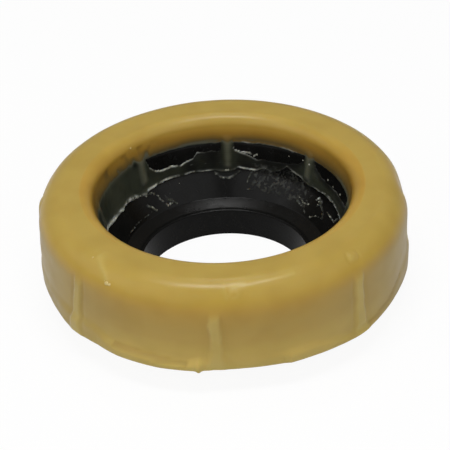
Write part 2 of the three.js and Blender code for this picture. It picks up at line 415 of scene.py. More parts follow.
# A ridge is a line of (degrees, height) points, how far it stands out, its width and its painted
# highlight.
ridges = [
    ([(-131.5, 42.0), (-130.2, 41.8), (-126.0, 39.8), (-124.4, 37.6)], 0.25, 0.8, 0.7),
    ([(-87.0, 41.4), (-86.2, 38.6)], 0.1, 0.6, 0.3),
    ([(-104, 40.8), (-97, 41.1), (-90.2, 41.2)], 0.04, 0.6, 0.2),
    ([(-84.4, 41.1), (-80.6, 41.3)], -0.07, 1.0, 0.7),
    ([(-80.5, 41.3), (-75, 41.6), (-69, 41.7), (-64, 41.8)], 0.15, 0.42, 0.6),
    ([(-43.8, 41.2), (-42.2, 38.9)], 0.2, 0.6, 0.3),
    ([(-97.8, 12.4), (-96.0, 14.4), (-94.0, 12.8)], 0.06, 0.7, 0.15),
    ([(-86.8, 16.6), (-85.4, 14.0), (-83.4, 13.0)], 0.12, 0.7, 0.4),
]


def shoulder_marks(turn, height):
    """Small dents and ridges left by handling, and how much painted highlight each place gets."""
    rise, pale = 0, 0
    for angle, level, size, deep in prints:
        away = np.hypot(arc(turn, angle, shoulder_circle), (height - level) * shoulder_slope)
        middle = np.exp(-((away / size) ** 4))
        rise = rise - deep * hump(away - size, 0.55) + 0.4 * deep * middle
        pale = np.maximum(pale, 0.35 * hump(away - size * 0.6, 0.5))
    for line, out, width, painted_light in ridges:
        drawn = [(angle, level * shoulder_slope) for angle, level in line]
        away = away_from_line(turn, height * shoulder_slope, shoulder_circle, drawn)
        ridge = hump(away, width)
        rise = rise + out * ridge
        pale = np.maximum(pale, painted_light * ridge)
    return rise, pale


# %% Put the outside together
marks_out, marks_up = 0.8, 0.7  # a mark stands square to the rounded shoulder
height = outside_height[None, :]
rib_out, rib_face_light = outer_rib(turn, height)
rib_out = rib_out * (1 - 0.75 * soft_step(14.5, 10.5, height))
slow_waves = layers_of_waves(turn, height, (0.14, 17, 3), (0.05, 5, 4))
marks, marks_painted_highlight = shoulder_marks(turn, height)
right_dent = 1.3 * hump(degrees_past(turn, 7), 7) * hump(height - 36, 4.6)
left_belly = 0.55 * hump(degrees_past(turn, 188), 24) * hump(height - 23, 8)
outside_radius = (
    plain_wall(height) - foot_inset + rib_out + foot_swell(turn, height)
    - fold_depth(turn, height) + slow_waves + marks * marks_out - right_dent + left_belly
)
outside_rise = height + marks * marks_up
print("outside: widest", round(2 * float(outside_radius.max()), 1), "mm across")

# %% The crown and the underside
edge_break = 0.3
spout_points = 8  # left out of the horn's back
crown_radius = np.linspace(wall_radius - shoulder_width, throat_radius + lip_round, 5)[1:-1]
crown_height = crown_top + 0.10 * waves(turn, crown_radius, 14, 6)
crown_radius = np.broadcast_to(crown_radius, crown_height.shape)
# Behind the horn the wax goes up to the back of the cone.
back_radius, back_height = np.array(horn_line(horn_wall + bond_gap)[spout_points:]).T
bore = shelf_edge.x + horn_wall + bond_gap
underside_radius = np.array([bore, bore, bore + edge_break, 46, 53, 60])
underside_height = np.full(len(underside_radius), wax_underside)
underside_height[0] = np.interp(bore, back_radius, back_height)
underside_height[1] += edge_break
print("underside: open to", round(float(bore), 1), "mm from the middle")

# %% [markdown]
# ## The inside: throat, collar and torn skin
# Below the lip the wax is thick, and it thins to nothing over the plastic collar. The core of the
# mould fitted the horn closely, so only a film of wax got in between. Where it stuck to the core
# it tore away, and it left ragged windows, lifted edges and smears.
# The film could be a separate sheet, but its edge would need a mesh cut to every tooth. It is
# easier to let one surface follow the plastic, a little in front of it where there is wax and a
# little behind it where there is none. The plastic then cuts the ragged edge by itself.

# %% The guide that the inner surface follows
guide_corners = Vector((throat_radius, lip_foot)), collar_rim, collar_foot, shelf_edge, spout_top
guide_spacing = 0.36
guide_floor = 12.0
guide_line = rounded(guide_corners, [6, 9, 1.0])
guide_radius, guide_height, guide_run = evenly(guide_line, guide_spacing)
inward_radius = np.gradient(guide_height, guide_run)
inward_height = -np.gradient(guide_radius, guide_run)
kept = guide_height > guide_floor
guide_radius, guide_height, guide_run = guide_radius[kept], guide_height[kept], guide_run[kept]
inward_radius, inward_height = inward_radius[kept], inward_height[kept]
print("guide:", len(guide_run), "rows,", *np.round(guide_height[[0, -1]], 1), "mm at its ends")


def run_at(height):
    """The run down the guide at a height."""
    return np.interp(height, guide_height[::-1], guide_run[::-1])


# %% Edges of the skin, as seen from the front: degrees and height
skin_foot = [
    (178, 21.6), (170, 20.3), (160, 19.5), (156, 19.4), (154.6, 20.3), (148.3, 20.3),
    (143.8, 19.9), (141.3, 19.5), (137, 18.8), (135.5, 19.8), (130.6, 20.2), (124.2, 20.9),
    (115.6, 20.9), (108.6, 21.1), (97, 20.8), (94.7, 20.4), (91, 20.2), (87.5, 20.6), (85.4, 21.6),
    (80.8, 21.4), (75.5, 21.0), (71.4, 22.5), (68, 21.5), (63, 22.8), (59.4, 25.0), (56.3, 24.1),
    (51.1, 22.9), (44.6, 21.7), (37.7, 21.5), (28.9, 22.0), (16, 21.7), (5, 21.3), (-10, 20.8),
    (-30, 21.4), (-50, 20.9), (-70, 21.3), (-90, 20.7), (-110, 21.2), (-130, 20.8), (-155, 21.6),
]
skin_head = [
    (134.5, 34), (132.2, 30.3), (131.6, 28.1), (129, 26.3), (126, 25.3), (122.4, 25.6),
    (120, 25.9), (117.5, 25.5), (114.8, 25.2), (111, 26.1), (107.8, 26.8), (105.5, 28.7),
    (101.1, 28.4), (98.1, 29.0), (95.7, 28.4), (93.8, 29.1), (93.2, 34), (88.0, 34), (87.4, 29.0),
    (84.4, 28.0), (80.9, 27.1), (77.8, 26.2), (75.3, 25.6), (72.0, 26.2), (69.2, 25.7),
    (63.8, 26.0), (58.1, 26.6), (53.3, 28.0), (50.0, 30.2), (49.2, 34), (43.8, 34), (42.2, 29.6),
    (37.2, 27.6), (31.8, 26.8), (25.7, 27.0), (18, 27.1), (10.7, 27.2), (4, 28.5), (1, 34),
]
print("skin edges:", len(skin_foot) + len(skin_head), "points")

# %% Inner ribs and strands
# An inner rib is its angle and the height of its rounded foot.
inner_ribs = [
    (90.5, 20.9), (136, 22.0), (46.5, 22.6), (1, 21.5), (-44, 21.5), (-90, 21.5), (-135, 21.5),
    (181, 22.5),
]
# A strand is a line of (degrees, height) points, its width and how pale it is.
strands = [
    ([(97.6, 20.4), (94.8, 18.7), (91.2, 18.1), (87.4, 18.8), (84.6, 20.4)], 0.46, 0.2),
    ([(37.7, 21.5), (32.2, 22.7), (26.4, 23.0), (20.1, 22.8), (14.6, 21.9), (12.9, 20.2),
      (14.6, 18.2)], 0.34, 0.8),
    ([(24.8, 18.1), (19.0, 18.0), (15.9, 18.1)], 0.26, 0.6),
    ([(36.6, 18.6), (34.4, 19.6), (31.8, 19.0), (33.7, 17.7)], 0.55, 0.38),
    ([(31.3, 18.1), (27.6, 17.1), (25.4, 15.3), (31.0, 14.4), (34.9, 13.0)], 0.36, 0.34),
    ([(49.7, 15.9), (46.6, 14.9), (42.6, 14.1), (39.4, 12.8)], 0.36, 0.24),
    ([(47.5, 16.7), (44.3, 15.8), (40.2, 15.8)], 0.24, 0.4),
    ([(71.4, 22.7), (69.7, 22.1), (68.0, 21.6)], 0.26, 0.55),
    ([(80.2, 16.8), (79.4, 18.4), (78.1, 20.5)], 0.3, 0.2),
    ([(79.9, 14.9), (77.6, 14.7)], 0.26, 0.3),
    ([(86.3, 28.7), (84.4, 28.3), (81.9, 28.1), (79.4, 27.8), (77.3, 26.8),
      (75.8, 27.7)], 0.30, 0.5),
    ([(109.7, 24.3), (102.0, 24.1), (93.4, 24.0)], 0.12, 0.2),
    ([(137.8, 18.9), (133.7, 18.9), (131.1, 17.2), (130.7, 16.1), (129.0, 14.7),
      (127.4, 13.3)], 0.30, 0.3),
    ([(139.5, 15.9), (137.7, 14.7), (135.6, 13.0)], 0.42, 0.5),
    ([(127.6, 13.0), (124.6, 13.4), (122.2, 13.0)], 0.34, 0.45),
    ([(126.3, 14.8), (123.6, 13.9), (121.2, 12.5)], 0.28, 0.35),
    ([(164.3, 12.8), (156.7, 13.1), (149.7, 13.4), (143.3, 13.3), (138.9, 13.6)], 0.20, 0.16),
]
rib_span = 5.2
rib_circle = 44
strand_circle = 41
bare = -9.0  # the cover of a place that is far from any wax


def inner_rib(turn, height):
    """The ribs of the throat, from 0 to 1, and how far a place lies inside their edge."""
    shape, reach = 0, bare
    for angle, foot in inner_ribs:
        down = np.clip(foot + rib_span / 2 - height, 0, None)
        away = np.hypot(arc(turn, angle, rib_circle), down) / (rib_span / 2)
        shape = np.maximum(shape, (1 - soft_step(0.0, 1.0, away)) * soft_step(35.5, 31.5, height))
        reach = np.maximum(reach, (1 - away) * rib_span / 2)
    return shape, reach


print(len(inner_ribs), "inner ribs and", len(strands), "strands")

# %% Cover: how far a place lies inside the edge of the wax
thick_from = 31.7
inner_grid = (len(wax_turns), len(guide_height))
turn = np.broadcast_to(wax_turns[:, None], inner_grid)
height = np.broadcast_to(guide_height, inner_grid)
run = np.broadcast_to(guide_run, inner_grid)
foot_teeth = round_curve([(90, 0.38), (94, 0.2), (112, 0.2), (118, 0.38)], turn)
foot_edge = round_curve(skin_foot, turn) + foot_teeth * ragged(turn, 21)
head_edge = round_curve(skin_head, turn) + 0.42 * ragged(turn, 31)
thick_edge = thick_from + 0.35 * ragged(turn, 41)
rib_shape, rib_reach = inner_rib(turn, height)
foot_room, head_room = height - foot_edge, head_edge - height
skin_cover = np.minimum(foot_room, head_room)
thick_cover = height - thick_edge
window = head_edge < 32
print("bare windows in", round(100 * float(window[:, 0].mean())), "% of the round")

# %% The cover of the strands
strand_cover, strand_pale = np.full(inner_grid, bare), np.zeros(inner_grid)
broken = 1 + 1.1 * waves(turn, run, 1.1, 51)
for line, width, pale in strands:
    drawn = [(angle, run_at(level)) for angle, level in line]
    inside = 0.75 * width * broken - away_from_line(turn, run, strand_circle, drawn)
    strand_pale = np.where(inside > strand_cover, pale, strand_pale)
    strand_cover = np.maximum(strand_cover, inside)
cover = np.maximum.reduce([skin_cover, thick_cover, rib_reach, strand_cover])
print("skin covers", round(100 * float((cover > 0).mean())), "% of the funnel's rows")

# %% Smears and the halo under the middle rib
halo = 1 - np.hypot(arc(turn, 91.3, 42) / 5.2, (height - 21.4) / 3.4)
smear_zone = soft_step(82, 76, turn) * soft_step(36, 44, turn)
smear_zone = smear_zone * soft_step(13.4, 15.0, height) * (height < 24)
smear = 0.5 + layers_of_waves(turn, run, (0.45, 0.9, 61), (0.4, 0.5, 62))
smear = smear_zone * smear - 0.36
wisps = soft_step(140, 134, turn) * soft_step(114, 120, turn) * soft_step(19, 16, height)
smear = np.maximum(smear, wisps * (0.5 + 0.5 * waves(turn, run, 1.4, 63)) - 0.62)
film = 0.08 * np.clip(np.maximum(smear * 1.6, np.minimum(halo * 2.2, 1)), -1, 1)
print("smeared:", round(100 * float((smear > 0).mean()), 1), "% of the funnel's rows")

# %% How thick the skin is, how it fades at its head, and how pale that edge is
skin_body = [
    (180, 0.7), (162, 0.76), (148, 0.6), (136, 0.48), (128, 0.4), (116, 0.32), (110, 0.12),
    (98, 0.03), (93, 0.2), (87, 0.3), (80, 0.12), (72, 0.05), (58, 0.05), (50, 0.36), (42, 0.46),
    (30, 0.55), (0, 0.55), (-90, 0.5),
]
head_fade = [
    (140, 0.4), (112, 0.5), (106, 1.6), (92, 1.6), (84, 1.0), (74, 1.6), (60, 2.2), (44, 3.4),
    (10, 3.0), (0, 1), (-90, 0.6),
]
head_pale = [
    (136, 0.5), (132, 0.45), (126, 0.6), (112, 0.75), (107, 0.45), (103, 0.08), (95, 0.08),
    (88, 0.35), (76, 0.3), (73, 0.02), (46, 0.02), (30, 0.08), (10, 0.15), (-90, 0.4), (180, 0.4),
]

# %% Thickness of the wax over the plastic
skin_full = round_curve(skin_body, turn)
skin_full = skin_full + 0.10 * waves(turn, run, 6, 71) + 0.05 * waves(turn, run, 2, 72)
full_again = np.maximum(soft_step(-0.3, 0.3, thick_cover), soft_step(-0.2, 0.6, rib_reach))
faded = 0.12 + 0.88 * soft_step(0, round_curve(head_fade, turn), head_room)
skin_full = np.maximum(skin_full * np.maximum(faded, full_again), 0.03)
# A torn edge curls off the plastic, more where it is pale.
curl = np.where(head_room < foot_room, 1.3 * round_curve(head_pale, turn), 1)
curl = curl * 0.16 * hump(cover - 0.28, 0.26) * (1.1 + ragged(turn, 81))
# Outside the edge the surface dives behind the plastic.
thickness = skin_full * soft_step(-0.05, 0.45, cover) + curl * (cover > -0.2)
thickness = thickness - 0.34 * soft_step(0.12, -0.45, cover)
thickness = np.maximum(thickness, film - 0.02)
rib_bulk = 0.65 * rib_shape * soft_step(-0.1, 0.8, rib_reach)
thickness = thickness + rib_bulk + 0.2 * soft_step(0.0, 2.2, thick_cover)
thickness = thickness * soft_step(lip_foot, collar_rim.y - 0.5, height)
inside_radius = guide_radius + inward_radius * thickness
inside_height = guide_height + inward_height * thickness
print("skin: up to", round(float(thickness.max()), 2), "mm thick with its ribs")

# %% The lip, and all rows of the wax together
def all_round(rows):
    """The same row values for every angle."""
    return np.broadcast_to(rows, (wax_sides, len(rows)))


lip_radius = guide_radius[0] + lip_round * (1 - np.sin(lip_turn))
lip_height = lip_foot + lip_round * np.cos(lip_turn)
wax_radius = np.hstack([
    all_round(underside_radius), outside_radius, crown_radius, all_round(lip_radius), inside_radius,
])
wax_height = np.hstack([
    all_round(underside_height), outside_rise, crown_height, all_round(lip_height), inside_height,
])
outer = slice(len(underside_radius), len(underside_radius) + len(outside_height))
inner = slice(wax_radius.shape[1] - len(guide_run), None)
lip_and_inner = slice(inner.start - len(lip_turn), None)
print("wax:", wax_radius.shape[1], "points in its section")

# %% Leave out what lies behind the plastic, and make the mesh
well_behind = -0.2
hidden = np.zeros(wax_radius.shape, bool)
hidden[:, inner] = (thickness < well_behind) & (height < 33)
hidden = hidden & np.roll(hidden, -1, 0)
face_hidden = hidden & np.roll(hidden, -1, 1)
wax_body = ring_mesh("wax_body", wax_turns, wax_radius, wax_height, closed=False, keep=~face_hidden)
print("wax:", 2 * len(wax_body.data.polygons), "triangles")

# %% [markdown]
# ## What the wax's colour depends on
# Thick wax is honey yellow. Over the black plastic it turns brown, then olive, as it gets thinner,
# because less light comes back out of it. So each point of the mesh carries its depth of wax over
# the plastic, and how torn it is, since a torn edge is paler. The depth also carries painted shade
# at the left and right of the lip, and a painted glow beside the bare windows. Two more values
# paint
# light and shade on the outside: pale rib faces and ridges with dark fillets and folds, and a
# greyish painted sheen on the wall away from the front. The material reads all four.

# %% How pale the torn edges are, and the painted glow and painted shade in the wax's depth
foot_pale = [
    (178, 1.2), (167, 1.3), (156, 1.2), (154.5, 0.25), (153, 1.2), (145, 1.1), (142, 0.25),
    (136, 0.3), (135, 1.2), (128, 1.0), (118, 0.85), (112, 0.7), (104, 0.5), (100, 0.5),
    (97.5, 0.08), (88, 0.08), (84, 0.9), (77, 0.8), (74, 0.1), (66, 0.1), (60, 0.3), (55, 0.5),
    (51, 0.5), (47, 0.1), (41, 0.12), (38, 0.6), (30, 0.7), (16, 0.8), (0, 0.6), (-90, 0.7),
    (-170, 0.8),
]
foot_width = [
    (178, 1.1), (165, 1.1), (157, 0.8), (154, 0.4), (151, 0.85), (145, 0.75), (142, 0.4),
    (135, 0.55), (126, 0.42), (112, 0.24), (100, 0.2), (20, 0.34), (-90, 0.4), (-170, 0.6),
]
lip_pale = [
    (84, 0), (82, 0.45), (74, 0.4), (72, 0.1), (64, 0.1), (62, 0.4), (55, 0.4), (52, 0.05),
    (0, 0.1), (180, 0.1), (100, 0),
]
# Painted glow: beside a bare window the wax's edge is drawn deeper, so it shows a brighter orange
# line.
edge_glow = [
    (134, 0.2), (105, 0.35), (92, 0.8), (70, 1.3), (48, 1.2), (20, 0.8), (0, 0.4), (-90, 0.4),
    (180, 0.2),
]
# Painted shade: the lip and the throat are drawn thinner, and so darker, towards the ring's left
# and right sides.
lip_side_painted_shade = [
    (90, 1.0), (60, 0.92), (35, 0.74), (12, 0.52), (0, 0.5), (-90, 0.9), (180, 0.55), (150, 0.74),
    (120, 0.94),
]

# %% Depth of wax over the plastic, with painted glow and painted shade
deep_wax = 12.0
plastic_radius, plastic_height, _ = evenly(horn_line(0), 0.15)
row_radius = np.concatenate([lip_radius, guide_radius])
row_height = np.concatenate([lip_height, guide_height])
to_plastic = np.hypot(row_radius[:, None] - plastic_radius, row_height[:, None] - plastic_height)
depth = np.full(wax_radius.shape, deep_wax)
depth[:, lip_and_inner] = to_plastic.min(1)
# Painted glow along the wax's edge beside the windows.
beside_window = soft_step(0, 0.35, thick_cover) * soft_step(1.6, 0.6, thick_cover) * window
depth[:, inner] += thickness - 0.2 * rib_bulk + beside_window * round_curve(edge_glow, turn)
# On the left the throat is stained, and there is one small dark pit.
stained = soft_step(170, 158, turn) * soft_step(122, 132, turn) * soft_step(31.2, 33, height)
stains = 0.25 + layers_of_waves(turn, run, (0.8, 4, 101), (0.6, 1.8, 102))
stains = np.clip(stains, 0, 1) * stained
pit = hump(np.hypot(arc(turn, 139.6, 46), height - 31.9), 1.1)
depth[:, inner] *= (1 - 0.5 * stains) * (1 - 0.8 * pit)
# Painted shade: the depth is cut towards the ring's left and right sides, so the lip shows darker
# there.
depth[:, lip_and_inner] *= round_curve(lip_side_painted_shade, wax_turns)[:, None]

# %% Torn edges, smears and strands
foot_line = hump(height - foot_edge - 0.3, round_curve(foot_width, turn))
foot_line = foot_line * round_curve(foot_pale, turn) * (rib_reach < 0)
head_line = hump(head_room - 0.2, 0.26) * round_curve(head_pale, turn) * (head_edge < 31)
lip_line = hump(thick_cover - 0.3, 0.22) * round_curve(lip_pale, turn) * window
smear_line = 0.05 * np.clip(2.5 * smear, 0, 1)
beads = np.clip(0.8 + 1.6 * waves(turn, run, 0.7, 93), 0.1, 1.8)
strand_line = soft_step(-0.1, 0.25, strand_cover) * strand_pale * beads
patches = 0.75 + layers_of_waves(turn, run, (0.9, 2.2, 91), (0.5, 0.8, 92))
patches = np.clip(patches, 0, 1.3) * (height < 32.6)
torn = np.zeros(wax_radius.shape)
pale_lines = [foot_line, head_line, strand_line, lip_line, smear_line]
torn[:, inner] = np.maximum.reduce(pale_lines) * patches

# %% Painted light and shade on the outside, and the painted sheen on its sides
# Painted sheen: the wall is drawn greyer away from the front, most at its left and right sides,
# standing in for glancing reflection.
side_sheen_share = [
    (-95, 0), (-118, 0.15), (-135, 0.6), (-150, 1), (150, 0.8), (90, 0.6), (30, 0.8), (-12, 1),
    (-28, 0.9), (-42, 0.5), (-65, 0.1),
]
# Painted light on rib faces and shoulder ridges, painted shade in fillets and folds.
fold_painted_shade = soft_step(0.0, 0.2, fold_depth(wax_turns[:, None], outside_height))
painted_light_and_shade = np.zeros(wax_radius.shape)
painted_light_and_shade[:, outer] = rib_face_light - 0.55 * fold_painted_shade + marks_painted_highlight * (1 + 0.4 * slow_waves)
painted_light_and_shade = np.clip(painted_light_and_shade, -0.6, 1)
side_sheen = np.zeros(wax_radius.shape)
side_sheen_at = round_curve(side_sheen_share, wax_turns)[:, None]
side_sheen[:, outer] = side_sheen_at * soft_step(37.5, 31.5, outside_height)

# %% Write the four values on the mesh
for name, values in (("wax_depth_with_painted_light", depth), ("torn", torn), ("painted_light_and_shade", painted_light_and_shade), ("side_sheen", side_sheen)):
    layer = wax_body.data.attributes.new(name, "FLOAT", "POINT")
    layer.data.foreach_set("value", values.astype(np.float32).ravel())
    print(name, "from", round(float(values.min()), 2), "to", round(float(values.max()), 2))

# %% [markdown]
# ## The finishes
# Both finishes are made of nodes. The wax is a soft satin solid that lets a little light in, so it
# gets some subsurface, a fine mottle from cooling, and a slightly uneven gloss. The horn is black
# polyethylene: satin, with a faint haze of wax rubbed into it.

# %% Helpers for the finishes
def paint(red, green, blue):
    """A colour as a screen shows it, 0 to 255, turned into the light that the renderer counts."""
    shown = [c / 255 for c in (red, green, blue)]
    return [*(((c + 0.055) / 1.055) ** 2.4 if c > 0.04 else c / 12.92 for c in shown), 1]


class Finish:
    """A material, or the light of the room, built up node by node."""

    def __init__(self, owner):
        owner.use_nodes = True
        self.owner, self.nodes, self.links = owner, owner.node_tree.nodes, owner.node_tree.links

    def set(self, socket, value):
        """Link a socket to another, or give it a value."""
        if isinstance(value, bpy.types.NodeSocket):
            self.links.new(value, socket)
        else:
            socket.default_value = value

    def wire(self, node, **inputs):
        """Set the inputs of a node by their names."""
        for key, value in inputs.items():
            self.set(node.inputs[key.replace("_", " ")], value)
        return node

    def add(self, kind, **inputs):
        """A new node with its inputs set."""
        return self.wire(self.nodes.new(kind), **inputs)

    def surface(self, **inputs):
        """Set the inputs of the shader."""
        self.wire(self.nodes["Principled BSDF"], **inputs)

    def attribute(self, name):
        """A value that is written on the mesh."""
        node = self.nodes.new("ShaderNodeAttribute")
        node.attribute_name = name
        return node.outputs["Fac"]

    def noise(self, size, detail=3):
        """Noise whose lumps are about size mm across."""
        place = self.add("ShaderNodeTexCoord").outputs["Object"]
        node = self.add("ShaderNodeTexNoise", Vector=place, Scale=1 / (size * mm), Detail=detail)
        return node.outputs["Fac"]

    def between(self, value, low, high, start=0.0, end=1.0):
        """A value from low to high, as another goes from start to end."""
        ends = {"From_Min": start, "From_Max": end, "To_Min": low, "To_Max": high}
        return self.add("ShaderNodeMapRange", Value=value, **ends).outputs["Result"]

    def blend(self, share, first, second, how="MIX"):
        """Two colours mixed, or one multiplied by the other."""
        node = self.nodes.new("ShaderNodeMix")
        node.data_type = "RGBA"
        node.blend_type = how
        for socket, value in ((0, share), (6, first), (7, second)):
            self.set(node.inputs[socket], value)
        return node.outputs[2]

    def shaders(self, kind, first, second, **inputs):
        """Two shaders joined in one."""
        node = self.add(kind, **inputs)
        for socket, value in zip(node.inputs[-2:], (first, second)):
            self.set(socket, value)
        return node.outputs[0]

    def steps(self, share, colours):
        """A colour ramp through (place, colour) pairs."""
        node = self.add("ShaderNodeValToRGB", Fac=share)
        ramp = node.color_ramp
        while len(ramp.elements) < len(colours):
            ramp.elements.new(1)
        for element, (place, colour) in zip(ramp.elements, colours):
            element.position, element.color = place, colour
        return node.outputs["Color"]

    def bump(self, height, strength, depth, **under):
        """Fine relief in the shading."""
        node = self.add("ShaderNodeBump", Height=height, Strength=strength, Distance=depth * mm)
        return self.wire(node, **under).outputs["Normal"]


# %% The colours of the wax
full_depth = 9.0
depth_colours = [
    (0.00, (16, 16, 15)), (0.12, (25, 26, 23)), (0.45, (49, 52, 42)), (0.95, (94, 95, 79)),
    (1.35, (96, 80, 44)), (2.2, (124, 97, 43)), (3.4, (156, 119, 46)), (5.2, (188, 150, 63)),
    (7.2, (190, 158, 73)), (8.8, (186, 158, 82)),
]
# Outside the colour changes with height: yellow crown, warmer shoulder, and a foot painted paler,
# as light thrown up from below would make it.
level_colours_with_foot_light = [
    (10.5, (200, 177, 97)), (14, (202, 174, 93)), (17, (200, 172, 90)), (21.5, (190, 160, 83)),
    (26, (185, 155, 79)), (31, (187, 153, 73)), (34, (189, 153, 69)), (37.5, (191, 159, 69)),
    (40.5, (188, 159, 75)), (42.5, (186, 158, 77)),
]
lowest_level, highest_level = level_colours_with_foot_light[0][0], level_colours_with_foot_light[-1][0]
level_span = highest_level - lowest_level
# Colours of the painted light and the painted shade on the outside.
painted_light_wax, painted_shade_wax = paint(205, 184, 108), paint(150, 118, 54)
side_sheen_wax, cloud_wax, torn_wax = paint(176, 152, 90), paint(232, 226, 205), paint(222, 224, 212)

# %% The wax finish
wax = Finish(bpy.data.materials.new("seal_wax"))
seen_depth_with_painted_light = wax.add("ShaderNodeMath")
seen_depth_with_painted_light.operation = "MULTIPLY"
wax.set(seen_depth_with_painted_light.inputs[0], wax.attribute("wax_depth_with_painted_light"))
wax.set(seen_depth_with_painted_light.inputs[1], 1 / full_depth)
seen_depth_with_painted_light = seen_depth_with_painted_light.outputs[0]
honey = wax.steps(seen_depth_with_painted_light, [(d / full_depth, paint(*c)) for d, c in depth_colours])
place = wax.add("ShaderNodeTexCoord").outputs["Object"]
level = wax.add("ShaderNodeSeparateXYZ", Vector=place).outputs["Z"]
level = wax.between(level, 0, 1, lowest_level * mm, highest_level * mm)
# The paler foot in these colours is painted light.
outside_colours = [((h - lowest_level) / level_span, paint(*c)) for h, c in level_colours_with_foot_light]
# The outside's colour by height, with the painted sheen on the wall's sides.
outer_colour = wax.blend(wax.attribute("side_sheen"), wax.steps(level, outside_colours), side_sheen_wax)
# Painted light on rib faces and ridges, painted shade in fillets and folds.
painted_light = wax.attribute("painted_light_and_shade")
outer_colour = wax.blend(wax.between(painted_light, 0, 0.62), outer_colour, painted_light_wax)
outer_colour = wax.blend(wax.between(painted_light, 0, 0.7, 0, -1), outer_colour, painted_shade_wax)
outside_share = wax.between(seen_depth_with_painted_light, 0, 1, 7.4 / full_depth, 8.8 / full_depth)
honey = wax.blend(outside_share, honey, outer_colour)
blotches = wax.between(wax.noise(11, 1), 0, 0.35, 0.42, 0.72)
cloudy = wax.blend(blotches, honey, wax.blend(1.0, honey, cloud_wax, "MULTIPLY"))
worn = wax.blend(wax.between(wax.attribute("torn"), 0, 0.9), cloudy, torn_wax)
cast_skin = wax.bump(wax.noise(5, 3), 0.25, 0.10)
wax.surface(
    Base_Color=worn,
    Roughness=wax.between(wax.noise(6, 1), 0.28, 0.34, 0.35, 0.65),
    Specular_IOR_Level=wax.between(seen_depth_with_painted_light, 0.16, 0.35, 0, 0.7 / full_depth),
    Subsurface_Weight=0.25,
    Subsurface_Radius=(1.0, 0.62, 0.28),
    Subsurface_Scale=1.4 * mm,
    IOR=1.43,
    Normal=wax.bump(wax.noise(0.9, 2), 0.1, 0.03, Normal=cast_skin),
)
wax_body.data.materials.append(wax.owner)
print("wax finish:", len(wax.nodes), "nodes")

# %% The plastic finish
plastic = Finish(bpy.data.materials.new("horn_plastic"))
haze = plastic.between(plastic.noise(7, 5), 0, 1, 0.45, 0.72)
plastic.surface(
    Base_Color=plastic.blend(haze, paint(13, 13, 12), paint(19, 19, 18)),
    Roughness=plastic.between(plastic.noise(3, 4), 0.2, 0.29, 0.3, 0.7),
    IOR=1.5,
    Specular_IOR_Level=0.15,
    Normal=plastic.bump(plastic.noise(1.2, 3), 0.15, 0.03),
)
horn.data.materials.append(plastic.owner)

# %% [markdown]
# ## Crumbs and painted glints
# Where the skin tore, crumbs and beads of wax are left on the plastic and on the ring's shoulder.
# Each is a small ball, squashed against what carries it and pushed out of round by its own
# seeded noise. Those in the funnel are thin and grey, and those on the ring are pale. Some stand
# where light glints on the wax, and their pale colour is partly a painted glint.

# %% Where the crumbs and painted glints are: degrees, height and size
crumbs_and_glints_in_funnel = [
    (91.6, 20.9, 0.42), (90.4, 20.9, 0.42), (34.3, 18.8, 0.3), (33.5, 17.8, 0.24),
    (44.3, 15.8, 0.22), (40.2, 15.9, 0.36), (47.5, 16.6, 0.2), (35.4, 13.1, 0.25),
    (31.0, 14.5, 0.22), (45.5, 29.7, 0.44), (32.0, 28.2, 0.44), (26.8, 27.4, 0.26),
    (18.5, 27.7, 0.42), (50.7, 30.0, 0.3), (59.0, 29.6, 0.2), (137.7, 14.7, 0.34),
    (135.8, 13.3, 0.22), (131.1, 17.2, 0.28), (133.7, 18.9, 0.22), (137.8, 18.8, 0.26),
    (141.3, 19.9, 0.28), (124.6, 13.4, 0.24), (127.4, 13.2, 0.2), (117.0, 18.8, 0.16),
    (77.3, 26.9, 0.28), (75.8, 27.6, 0.3), (81.9, 28.1, 0.22),
]
crumbs_and_highlights_on_ring = [
    (-124.4, 37.5, 0.8), (-123.4, 37.3, 0.6), (-125.2, 38.0, 0.35), (-127.6, 40.3, 0.3),
    (-130.6, 41.7, 0.3), (-133.5, 41.5, 0.34), (140.1, 39.2, 0.36), (-138.2, 12.4, 0.6),
]

# %% A crumb of wax
out_of_round = 0.22
squash = 0.55


def wax_lump(mesh, place, normal, size, seed):
    """One squashed lump, with its flat side on the surface."""
    random = np.random.default_rng(seed)
    ball = bmesh.ops.create_icosphere(mesh, subdivisions=2, radius=size)["verts"]
    lean = normal.to_track_quat("Z", "Y").to_matrix()
    ways = [Vector(way) for way in random.normal(size=(3, 3))]
    for vert in ball:
        facing = vert.co.normalized()
        pull = out_of_round * sum(math.sin(3 * facing.dot(way) + seed) for way in ways) / 3
        local = vert.co * (1 + pull)
        local.z *= squash
        vert.co = (place + lean @ local) * mm


def lump_piece(name, lumps, dark, light):
    """One mesh of all the lumps, with a finish that wavers between two colours."""
    build = bmesh.new()
    for seed, (place, normal, size) in enumerate(lumps):
        wax_lump(build, place, normal, size, seed)
    mesh = finished_mesh(name, build)
    mesh.shade_smooth()
    finish = Finish(bpy.data.materials.new(name))
    light_share = finish.between(finish.noise(0.8, 2), 0, 1, 0.35, 0.65)
    finish.surface(
        Base_Color=finish.blend(light_share, dark, light),
        Roughness=finish.between(light_share, 0.3, 0.5),
    )
    mesh.materials.append(finish.owner)
    return add_object(name, mesh)


# %% Crumbs and painted glints on the torn skin
funnel_lumps = []
for angle, level, size in crumbs_and_glints_in_funnel:
    row = int(np.argmin(np.abs(guide_height - level)))
    column = round((angle % 360) / 360 * wax_sides) % wax_sides
    out = max(0.0, float(thickness[column, row]))
    radius = guide_radius[row] + inward_radius[row] * out
    place = at_angle(angle, radius, guide_height[row] + inward_height[row] * out)
    normal = at_angle(angle, inward_radius[row], inward_height[row])
    funnel_lumps.append((place, normal, size))
funnel_crumbs_and_glints = lump_piece(
    "funnel_crumbs_and_glints", funnel_lumps, paint(112, 113, 100), paint(165, 164, 148),
)
print("crumbs in the funnel:", len(funnel_lumps))

